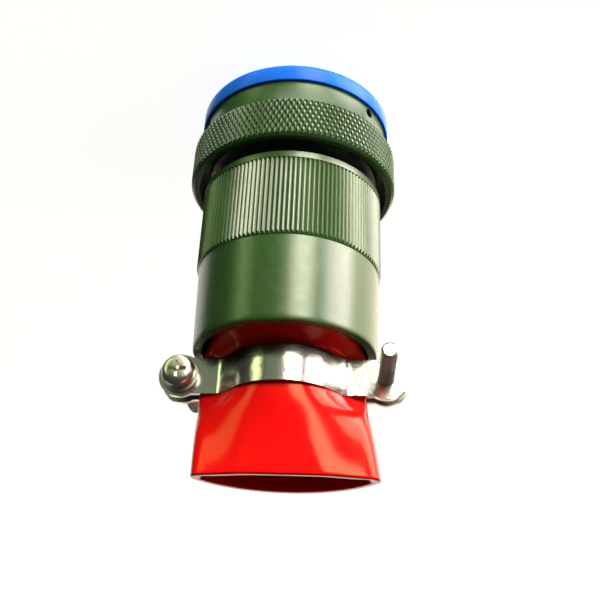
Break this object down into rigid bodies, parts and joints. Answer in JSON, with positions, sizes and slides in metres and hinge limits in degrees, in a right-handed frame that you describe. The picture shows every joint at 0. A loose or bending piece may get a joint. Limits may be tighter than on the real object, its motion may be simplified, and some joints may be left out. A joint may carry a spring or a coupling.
{
  "type": "mil-spec circular connector",
  "caption": "Straight circular cable plug with a knurled bayonet coupling nut, serrated backshell, rubber cable sleeve, saddle clamp and push-on dust cap.",
  "frame": {"origin": "centre of the dust cap's front face, which the plug stands on", "axes": "+Z along the connector's axis towards the cable end, X through both clamp screws, -Y towards the left screw's head"},
  "size_m": [0.0608, 0.056, 0.1033],
  "materials": {
    "blue_plastic": "translucent blue polyethylene, smooth",
    "olive_plate": "olive drab chromate over cadmium plate, satin",
    "spring_steel": "plain spring steel",
    "black_rubber": "black rubber",
    "grey_rubber": "grey silicone rubber",
    "insulator_plastic": "black moulded insulator",
    "contact_gold": "gold-plated copper alloy",
    "ring_aluminium": "turned aluminium",
    "red_rubber": "red silicone rubber, slightly glossy",
    "polished_steel": "polished stainless sheet",
    "screw_steel": "bright zinc-plated steel"
  },
  "bodies": {
    "plug_body": {"plug_shell": "olive_plate", "wave_spring": "spring_steel", "nut_thrust_washer": "spring_steel", "nut_retaining_ring": "spring_steel", "shell_o_ring": "black_rubber", "interfacial_seal": "grey_rubber", "front_insulator": "insulator_plastic", "rear_grommet": "grey_rubber", "socket_contacts": "contact_gold", "insert_retaining_ring": "ring_aluminium", "backshell": "olive_plate", "cable_sleeve": "red_rubber", "sleeve_thrust_ring": "ring_aluminium", "lower_saddle": "polished_steel"},
    "coupling_ring": {"coupling_nut": "olive_plate"},
    "cap": {"dust_cap": "blue_plastic"},
    "upper_clamp": {"upper_saddle": "polished_steel"},
    "left_fastener": {"left_screw": "screw_steel", "left_flat_washer": "screw_steel", "left_lock_washer": "screw_steel"},
    "right_fastener": {"right_screw": "screw_steel", "right_flat_washer": "screw_steel", "right_lock_washer": "screw_steel"}
  },
  "joints": [
    {"name": "coupling_turn", "type": "hinge", "parent": "plug_body", "child": "coupling_ring", "pos_m": [0, 0, 0.018], "axis": [0, 0, 1], "continuous": true},
    {"name": "cap_pull", "type": "slide", "parent": "coupling_ring", "child": "cap", "axis": [0, 0, -1], "range_m": [0, 0.02]},
    {"name": "upper_clamp_lift", "type": "slide", "parent": "plug_body", "child": "upper_clamp", "axis": [0, -1, 0], "range_m": [0, 0.0021]},
    {"name": "left_screw_turn", "type": "hinge", "parent": "upper_clamp", "child": "left_fastener", "pos_m": [0.025, 0, 0.0779], "axis": [0, -1, 0], "range_deg": [0, 1080]},
    {"name": "right_screw_turn", "type": "hinge", "parent": "plug_body", "child": "right_fastener", "pos_m": [-0.025, 0, 0.0779], "axis": [0, 1, 0], "range_deg": [0, 1080]}
  ],
  "couplings": [
    {"joint": "left_screw_turn", "follows": "upper_clamp_lift", "rad_per_m": 8976},
    {"joint": "right_screw_turn", "follows": "upper_clamp_lift", "rad_per_m": 8976}
  ]
}
